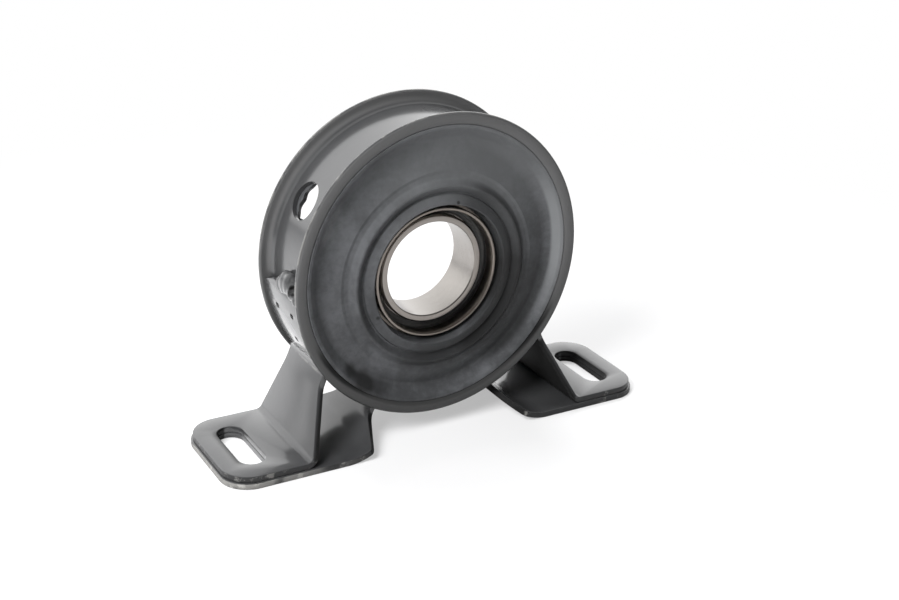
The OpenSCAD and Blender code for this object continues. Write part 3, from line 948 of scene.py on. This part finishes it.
def pale_floor():
    """A white floor that keeps the object's shadow close by and fades to plain white."""
    bpy.ops.object.select_all(action="DESELECT")
    bpy.ops.mesh.primitive_circle_add(vertices=96, radius=6, fill_type="NGON")
    floor = bpy.context.object
    floor.name = "floor"
    material = bpy.data.materials.new("floor_white")
    material.use_nodes = True
    tree = material.node_tree
    shade = Shade(tree)
    place = shade.node("ShaderNodeTexCoord", out=3)
    away = shade.node("ShaderNodeVectorMath", {"operation": "LENGTH"}, {0: place}, out=1)
    surface = tree.nodes["Principled BSDF"]
    surface.inputs["Base Color"].default_value = (0.54, 0.54, 0.545, 1)
    surface.inputs["Roughness"].default_value = 0.7
    surface.inputs["Specular IOR Level"].default_value = 0.1
    glow = shade.node("ShaderNodeEmission", None, {"Strength": 1.0})
    ray = shade.node("ShaderNodeLightPath", out=0)
    share = (0.45 + 0.55 * away.ramp(0.16, 0.42)) * ray
    mixed = shade.node("ShaderNodeMixShader", None, {0: share})
    mixer = mixed.socket.node
    tree.links.new(surface.outputs[0], mixer.inputs[1])
    tree.links.new(glow.socket, mixer.inputs[2])
    tree.links.new(mixed.socket, tree.nodes["Material Output"].inputs["Surface"])
    floor.data.materials.append(material)


def white_world():
    """Even light. The camera sees it white, and reflections see it white behind and dimmer in front."""
    world = bpy.data.worlds.new("studio")
    bpy.context.scene.world = world
    world.use_nodes = True
    tree = world.node_tree
    shade = Shade(tree)
    camera = shade.node("ShaderNodeLightPath", out=0)
    glossy = Shade(tree, camera.socket.node.outputs["Is Glossy Ray"])
    through = Shade(tree, camera.socket.node.outputs["Is Transmission Ray"])
    heading = shade.node("ShaderNodeTexCoord", out=0)
    behind = shade.node("ShaderNodeSeparateXYZ", None, {0: heading}, out=1).ramp(-0.5, 0.2)
    seen = camera.math("MAXIMUM", camera, camera.math("MAXIMUM", glossy * behind, through))
    ground = tree.nodes["Background"]
    ground.inputs["Color"].default_value = (1, 1, 1, 1)
    tree.links.new((0.1 + 0.9 * seen).socket, ground.inputs["Strength"])


def softbox(name, at, aim, size, power, mirrored=True):
    """A soft light. Where it isn't mirrored, it leaves no image of itself in the gloss."""
    bpy.ops.object.light_add(type="AREA", location=at)
    lamp = bpy.context.object
    lamp.name = name
    lamp.data.shape = "RECTANGLE"
    lamp.data.size, lamp.data.size_y = size
    lamp.data.energy = power
    lamp.rotation_euler = (Vector(aim) - Vector(at)).to_track_quat("-Z", "Y").to_euler()
    lamp.visible_camera = False
    lamp.visible_glossy = mirrored


def photo_camera():
    """The camera that took the photograph, fitted to the ring, the bore and the slots."""
    place = Vector((-0.26807, -0.46499, 0.28763))
    focal_length = 1434.2 / 899  # in picture widths
    yaw, pitch, roll = math.radians(31.04), math.radians(23.62), math.radians(2.41)
    ahead = Vector((math.sin(yaw) * math.cos(pitch), math.cos(yaw) * math.cos(pitch), -math.sin(pitch)))
    level = Vector((math.cos(yaw), -math.sin(yaw), 0))
    over = level.cross(ahead)
    right = math.cos(roll) * level + math.sin(roll) * over
    top = -math.sin(roll) * level + math.cos(roll) * over
    bpy.ops.object.camera_add()
    camera = bpy.context.object
    camera.data.sensor_width = 36
    camera.data.lens = focal_length * camera.data.sensor_width
    turn = Matrix((right, top, -ahead)).transposed().to_4x4()
    camera.matrix_world = Matrix.Translation(place) @ turn
    bpy.context.scene.camera = camera


# Putting it together

paint = black_paint()
rubber = mount_rubber()
race_steel = bare_steel("race_steel", (0.27, 0.255, 0.24, 1), (0.37, 0.35, 0.33, 1), 0.24, 0.25)
pressed_steel = bare_steel("pressed_steel", (0.2, 0.18, 0.16, 1), (0.33, 0.3, 0.27, 1), 0.3, 0.2)
ball_steel = polished_ball()
seal_black = seal_rubber()
finishes = {
    "painted_steel": paint, "mount_rubber": rubber, "race_steel": race_steel,
    "pressed_steel": pressed_steel, "ball_steel": ball_steel, "seal_rubber": seal_black,
}


def fit(piece, slot, body, node=None):
    """Gives a finished piece its material and its body, and hides the CAD node that it stands for."""
    piece.data.materials.clear()
    piece.data.materials.append(finishes[slot])
    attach(piece, body)
    if node:
        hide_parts(node)


fit(steel_ring(), "painted_steel", "mount", "outer_ring")
fit(rubber_ring(), "mount_rubber", "mount", "rubber_mount")
fit(saddle(), "painted_steel", "mount", "saddle_strap")
leg = right_leg()
fit(mirrored_copy(leg, "left_leg_sheet"), "painted_steel", "mount", "left_leg")
fit(leg, "painted_steel", "mount", "right_leg")
bead = weld_bead()
fit(mirrored_copy(bead, "left_weld_bead"), "painted_steel", "mount")
fit(bead, "painted_steel", "mount")
fit(shaft_race(), "race_steel", "shaft_race", "inner_race")
fit(seal("front_seal_disc", -1), "seal_rubber", "mount", "front_seal")
fit(seal("rear_seal_disc", 1), "seal_rubber", "mount", "rear_seal")
fit(dust_shield("front_shield_sleeve", -1), "pressed_steel", "mount", "front_dust_shield")
fit(dust_shield("rear_shield_sleeve", 1), "pressed_steel", "mount", "rear_dust_shield")

slot_of = {part["node"]: part["material_slot"] for part in frame["record"]["subparts"]}
for node, piece in frame["nodes"].items():
    piece.data.materials.clear()
    piece.data.materials.append(finishes[slot_of[node]])

pale_floor()
white_world()
softbox("left_softbox", (-0.5, -0.2, 0.5), (0, 0, 0.08), (0.35, 0.35), 12.5, mirrored=False)
softbox("rear_sweep", (0, 2.2, 0.95), (0, 0, 0.1), (5.0, 1.9), 31)
softbox("floor_softbox", (0.1, 0.75, 1.3), (0, 0.3, 0), (1.2, 0.7), 36, mirrored=False)
photo_camera()
bpy.context.scene.view_settings.view_transform = "Standard"
